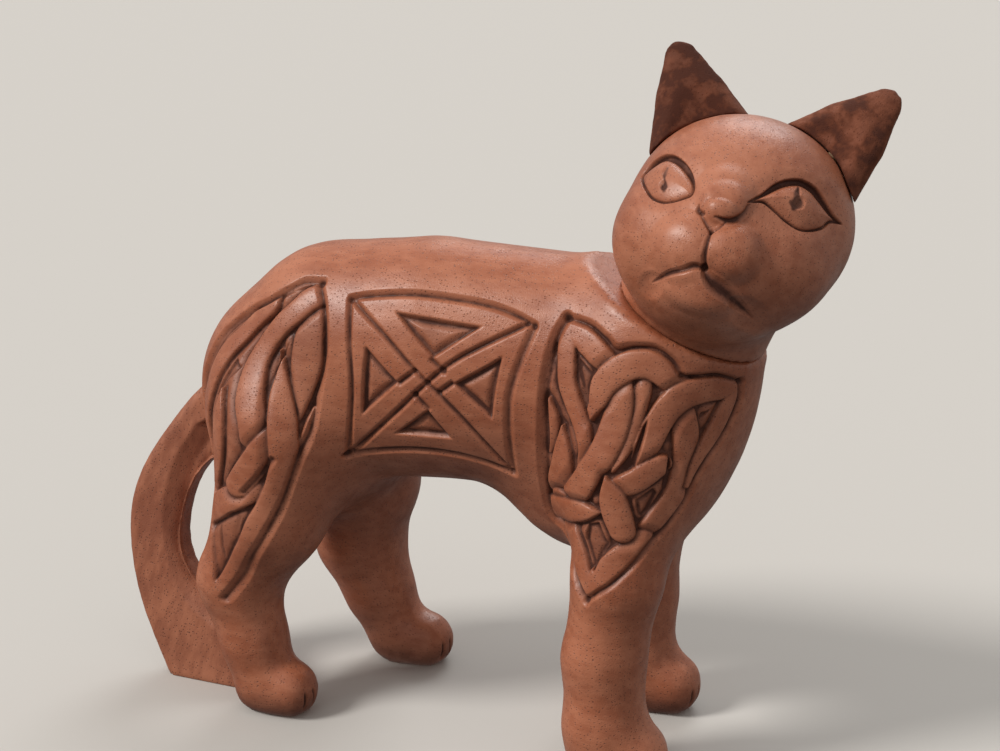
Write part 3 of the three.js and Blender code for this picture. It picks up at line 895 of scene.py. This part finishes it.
# %% [markdown]
# ## The head
# The head is a ball turned to look over the cat's right side. On it the carver left two round muzzle pads, a
# small nose at the end of a broad bridge, and a chin. The eyes are bulging almonds under a deep upper lid.
# All of it is measured in the head's own axes: x to the cat's right, y out of the face, z up.

# %% Axes of the head
HEAD_MIDDLE = np.array([94.0, -12.0, 209.5])
head_turn = Euler(np.radians([20, -10.5, 187]), "YXZ").to_matrix()
head_axes = np.array(head_turn)


def to_head(points):
    return (points - HEAD_MIDDLE) @ head_axes


print("the face looks along", (head_axes @ [0, 1, 0]).round(2))

# %% Soft swellings and hollows of the face
# Each is: middle across, middle up, half width, half height, how far it stands out.
FACE_FORMS = [
    (-0.5, 7.5, 11.5, 12.5, 2.1),  # bridge of the nose
    (-2.0, 4.5, 10.0, 8.5, 1.9),  # nose
    (-2.0, 0.8, 6.0, 4.0, 1.2),  # tip of the nose
    (7.5, -12.5, 13.0, 13.0, 2.4),  # right muzzle pad
    (-9.5, -10.5, 10.5, 11.0, 3.6),  # left muzzle pad
    (-1.5, -25.5, 15.0, 8.5, 2.2),  # lower lip
    (21.5, 9.0, 15.0, 12.5, -1.5),  # right eye socket
    (-23.5, 11.5, 16.0, 12.5, -1.5),  # left eye socket
    (16.0, -27.0, 6.0, 5.0, -1.0),  # right corner of the mouth
    (-17.5, -28.0, 7.0, 6.0, -1.6),  # left corner of the mouth
]


def face_swelling(place):
    height = np.zeros(len(place))
    for across, up, half_width, half_height, stand in FACE_FORMS:
        far = ((place[:, 0] - across) / half_width) ** 2 + ((place[:, 1] - up) / half_height) ** 2
        height += stand * np.clip(1 - far, 0, 1) ** 2 * (1 + 2 * far)
    return height


# %% The eyes
RIGHT_EYE = [(33, 9), (31.5, 13.5), (28.5, 17), (25, 18.6), (21, 18.2), (16.5, 16.2), (12.5, 12.8),
             (9.8, 8.5), (9.5, 5), (12, 3), (16, 1), (20, 0.2), (24.5, 1.2), (28.5, 4), (31.3, 6.5)]
LEFT_EYE = [(-12, 12), (-14.8, 16.5), (-18, 19.2), (-21.5, 20.6), (-24.5, 20.5), (-28, 19.2), (-31.5, 16.2),
            (-34.5, 13), (-38, 10.5), (-34.8, 9.2), (-33.2, 6.4), (-30.2, 4), (-26.5, 3), (-22, 4.2),
            (-18.4, 6), (-15.4, 7.5), (-12.8, 8.2), (-9, 6.8), (-10.2, 9.6)]
UPPER_LID = (2.2, 2.2)  # depth and width of the cut under the upper lid
LOWER_LID = (1.2, 1.0)


def set_eye(height, place, outline, middle_up):
    ring = smooth_line(outline, closed=True)
    spots = close_to(place, ring, 1)
    inward = depth_inside(place[spots], ring)
    upper = ramp(-3, 5, place[spots][:, 1] - middle_up)
    depth = LOWER_LID[0] + upper * (UPPER_LID[0] - LOWER_LID[0])
    width = LOWER_LID[1] + upper * (UPPER_LID[1] - LOWER_LID[1])
    across = np.clip((inward - width) / 7.5, 0, 1)
    ball = -0.75 * depth + (0.75 * depth + 1.9) * np.sqrt(1 - (1 - across) ** 2)
    lid_cut = -depth * ramp(0, 0.7, inward)
    blend = ramp(0.6 * width, 1.25 * width, inward)
    eye = lid_cut + (ball - lid_cut) * blend
    height = height.copy()
    height[spots] = np.where(inward > 0, eye, height[spots])
    return height


# %% The cuts of the nose, the mouth and the pupils
# Each cut is a line of (across, up, half width); it is as deep as its factor times its width.
FACE_CUTS = [
    (1.1, [(-9.8, 6.5, 0.6), (-9.4, 3.5, 1.0), (-7.5, 0.4, 1.2), (-4.7, -1.0, 1.2), (-1.0, -0.8, 0.5)]),
    (1.1, [(6.0, 2.0, 0.5), (5.6, 0.2, 1.1), (3.4, -0.6, 0.9)]),
    (1.0, [(5.0, -0.4, 0.6), (2.2, -2.8, 0.8), (-1.0, -5.6, 1.0)]),
    (0.9, [(-4.7, -1.8, 0.5), (-3.0, -3.9, 0.6), (-1.2, -5.8, 0.8)]),
    (1.1, [(-1.0, -5.2, 0.7), (-0.9, -9.5, 1.0), (-1.2, -14, 1.2), (-2.2, -18, 1.2)]),
    (0.9, [(-2.2, -17.8, 1.1), (1.5, -18.2, 1.5), (4.5, -20.0, 1.5), (9.0, -22.0, 1.4), (12, -23.6, 1.1),
           (16, -26, 0.4)]),
    (0.65, [(-1.8, -17.8, 1.3), (-4.0, -20.6, 2.5), (-7.0, -22.6, 3.3), (-11, -24.2, 3.1),
            (-15, -26.4, 2.1), (-18.5, -28.5, 0.6)]),
    (0.9, [(22.5, 13.5, 0.3), (22.3, 11.0, 0.7), (22.0, 9.0, 0.3)]),
    (0.7, [(20.6, 7.8, 0.6), (20.8, 6.2, 1.5), (20.2, 4.2, 0.5)]),
    (0.9, [(-22.0, 18.0, 0.3), (-22.2, 15.5, 0.7), (-22.6, 13.8, 0.4)]),
    (0.6, [(-23.2, 12.6, 1.8), (-23.1, 11.0, 1.9)]),
]


PUPILS = [
    [(22.3, 13.0, 0.4), (22.2, 10.5, 0.8), (21.6, 8.8, 0.3), (20.9, 7.6, 0.6), (20.7, 6.0, 1.4),
     (20.3, 4.8, 0.6)],
    [(-22.0, 17.4, 0.3), (-22.2, 15.5, 0.8), (-22.8, 13.8, 0.9), (-23.2, 12.3, 1.9), (-23.1, 11.0, 2.0),
     (-23.0, 9.8, 0.8)],
]


def face_cuts(place):
    height = np.zeros(len(place))
    height = set_eye(height, place, RIGHT_EYE, 9.5)
    height = set_eye(height, place, LEFT_EYE, 11.5)
    for factor, points in FACE_CUTS:
        height = cut_groove(height, place, points, factor, 1.0)
    return height


# %% Carve the head
# The face is one box in the head's axes. The eyes and the mouth are smaller boxes inside it.
def front_of_face(points, narrow):
    local = to_head(points)
    x, y, z = local[:, 0], local[:, 1], local[:, 2]
    whole = (y > 8) & (np.abs(x) < 41) & (z > -36) & (z < 28)
    eyes = (np.abs(z - 10) < 13) & (np.abs(x) > 8)
    mouth = (np.abs(x + 1) < 20) & (z < 9) & (z > -30)
    return whole & (eyes | mouth) if narrow else whole


HEAD_CELL = 1.1
head = fine_copy("head", "carved_head", HEAD_CELL)
smooth_piece(head.data, 30)
for narrow in (False, True):
    split_squares(head.data, front_of_face(face_middles(head.data), narrow))
    smooth_piece(head.data, 3)


def carve_face(mesh, shape):
    points = read_points(mesh)
    local = to_head(points)
    front = ramp(2, 12, local[:, 1])
    depth = shape(local[:, [0, 2]]) * front
    write_points(mesh, points + read_normals(mesh) * depth[:, None])
    return depth


carve_face(head.data, face_swelling)
smooth_piece(head.data, 4)
face_depth = carve_face(head.data, face_cuts)
face_average = neighbour_average(head.data)
face_blur = face_depth
for _ in range(BLUR_ROUNDS):
    face_blur = face_average(face_blur)
face_stain = stain_in_cuts(face_depth, face_blur, full_depth=1.7)
face_place = to_head(read_points(head.data))
for pupil in PUPILS:
    gap, half = near_line(face_place[:, [0, 2]], smooth_line(pupil))
    blot = ramp(0.5, -0.5, gap - half) * (face_place[:, 1] > 10)
    face_stain = np.maximum(face_stain, 0.9 * blot)
# The head's mask holds the stain in the cuts and the pupils, and painted shade under the chin and the jaw.
store_mask(head.data, "stain", np.maximum(face_stain, painted_shade_below(head.data, 0.3)))
finish_piece(head, "head", head_wood)
print("head:", len(head.data.vertices), "points")

# %% [markdown]
# ## The ears
# Each ear is a small thick leaf of wood, hollowed at the front and left rough there, and glued to the ball.

# %% Carve the ears
EAR_CELL = 0.5
EAR_STAIN = {"right_ear": 0.5, "left_ear": 0.3}  # the left hollow kept its stain less evenly
for side in EAR_STAIN:
    ear = fine_copy(side, "carved_" + side, EAR_CELL)
    smooth_piece(ear.data, 60)
    in_hollow = ramp(0.2, 0.8, read_normals(ear.data) @ head_axes[:, 1])
    store_mask(ear.data, "stain", 0.4 + EAR_STAIN[side] * in_hollow)
    finish_piece(ear, side, ear_wood)
    print(side, "has", len(ear.data.vertices), "points")

# %% [markdown]
# ## The tail
# The tail is sawn from a board and stands on its own foot. A ridge runs down its outer face: in front of the
# ridge the wood falls away in one long bevel towards the haunch.

# %% Carve the tail
TAIL_RIDGE = [(-132, 108), (-140, 96), (-145, 83), (-147, 67), (-144, 51), (-139, 38), (-129, 29), (-114, 20)]
TAIL_BEVEL = 0.6
DEEPEST_BEVEL = 4.4
TAIL_CELL = 0.9
tail = fine_copy("tail", "carved_tail", TAIL_CELL)
smooth_piece(tail.data, 12, keep_flat_below=FLAT_SOLE)


def carve_tail(mesh):
    points = read_points(mesh)
    normals = read_normals(mesh)
    place = points[:, [0, 2]]
    ridge = smooth_line(TAIL_RIDGE)
    gap = near_line(place, ridge)[0]
    inner = inside_outline(place, np.vstack([ridge, [(-60, 0), (-60, 140)]]))
    bevel = np.where(inner, -np.minimum(TAIL_BEVEL * gap, DEEPEST_BEVEL), 0.0)
    bevel *= ramp(0.3, 0.8, np.abs(normals[:, 1]))
    points[:, 1] += bevel * np.sign(normals[:, 1])
    write_points(mesh, points)


carve_tail(tail.data)
store_mask(tail.data, "stain", np.zeros(len(tail.data.vertices)))
finish_piece(tail, "tail", tail_wood)
print("tail:", len(tail.data.vertices), "points")

# %% [markdown]
# ## The pegs
# The pegs are plain turned dowels of a paler raw wood. They are hidden in their holes once the cat is
# glued, so the CAD pieces are kept as they are and only get their wood.

# %% Give the pegs their wood
PEGS = ("neck_dowel", "right_ear_peg", "left_ear_peg", "tail_root_peg", "tail_foot_peg")
for node in PEGS:
    peg = frame["nodes"][node]
    peg.data.materials.clear()
    peg.data.materials.append(peg_wood)
print("pegs in raw wood:", len(PEGS))
